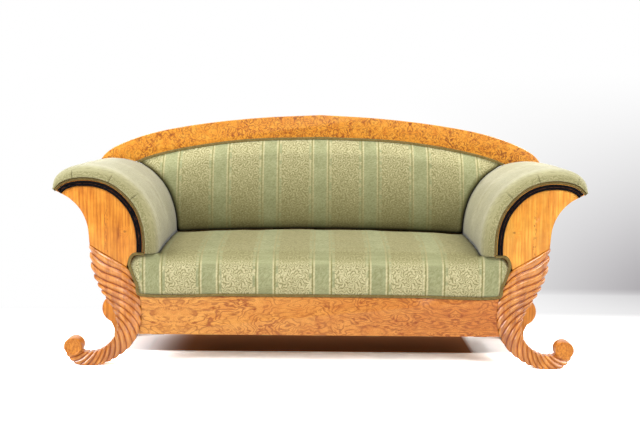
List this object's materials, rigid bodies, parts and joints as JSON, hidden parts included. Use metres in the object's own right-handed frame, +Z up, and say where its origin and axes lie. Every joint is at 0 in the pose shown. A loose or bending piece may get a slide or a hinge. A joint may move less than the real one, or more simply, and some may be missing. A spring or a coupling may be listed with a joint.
{
  "type": "recamier sofa",
  "caption": "Long upholstered sofa with outward scrolled arms, rope-carved horn legs ending in curled feet, an arched wooden crest and a sprung, striped seat.",
  "frame": {"origin": "On the floor, under the centre of the sofa's overall width and depth.", "axes": "+X to the sofa's side that is on the right seen from the front, +Y from the front to the back, +Z up."},
  "size_m": [2.1112, 0.7068, 0.998],
  "materials": {
    "polished_wood": "French-polished light figured hardwood, glossy",
    "black_wood": "ebonised and polished",
    "frame_wood": "bare sawn beech",
    "striped_cloth": "green and cream damask stripe over stuffing",
    "plain_cloth": "plain woven sage cotton lining",
    "braid": "two-cord olive gimp",
    "jute": "woven jute webbing and hessian",
    "spring_steel": "drawn wire"
  },
  "bodies": {
    "root": {"front_rail": "polished_wood", "front_leg_right": "polished_wood", "front_leg_left": "polished_wood", "foot_roll_right": "polished_wood", "foot_roll_left": "polished_wood", "arm_facing_right": "polished_wood", "arm_facing_left": "polished_wood", "rear_leg_right": "polished_wood", "rear_leg_left": "polished_wood", "arm_rear_board_right": "polished_wood", "arm_rear_board_left": "polished_wood", "arm_side_panel_right": "polished_wood", "arm_side_panel_left": "polished_wood", "crest_rail": "polished_wood", "arm_moulding_right": "black_wood", "arm_moulding_left": "black_wood", "back_rail": "frame_wood", "side_rail_right": "frame_wood", "side_rail_left": "frame_wood", "seat_brace_right": "frame_wood", "seat_brace_left": "frame_wood", "corner_block_front_right": "frame_wood", "corner_block_front_left": "frame_wood", "corner_block_rear_right": "frame_wood", "corner_block_rear_left": "frame_wood", "arm_tip_rail_right": "frame_wood", "arm_tip_rail_left": "frame_wood", "arm_base_rail_right": "frame_wood", "arm_base_rail_left": "frame_wood", "back_stile_right": "frame_wood", "back_stile_left": "frame_wood", "back_muntin_right": "frame_wood", "back_muntin_left": "frame_wood", "back_lower_rail": "frame_wood", "seat_pad": "striped_cloth", "back_pad": "striped_cloth", "arm_pad_right": "striped_cloth", "arm_pad_left": "striped_cloth", "outer_back_cloth": "plain_cloth", "gimp_arm_right": "braid", "gimp_arm_left": "braid", "gimp_back": "braid", "gimp_seat": "braid", "arm_cloth_right": "jute", "arm_cloth_left": "jute", "back_webbing": "jute", "seat_webbing": "jute", "seat_cloth": "jute", "back_cloth": "jute", "spring_front_1": "spring_steel", "spring_front_2": "spring_steel", "spring_front_3": "spring_steel", "spring_front_4": "spring_steel", "spring_front_5": "spring_steel", "spring_rear_1": "spring_steel", "spring_rear_2": "spring_steel", "spring_rear_3": "spring_steel", "spring_rear_4": "spring_steel", "spring_rear_5": "spring_steel"}
  },
  "joints": []
}
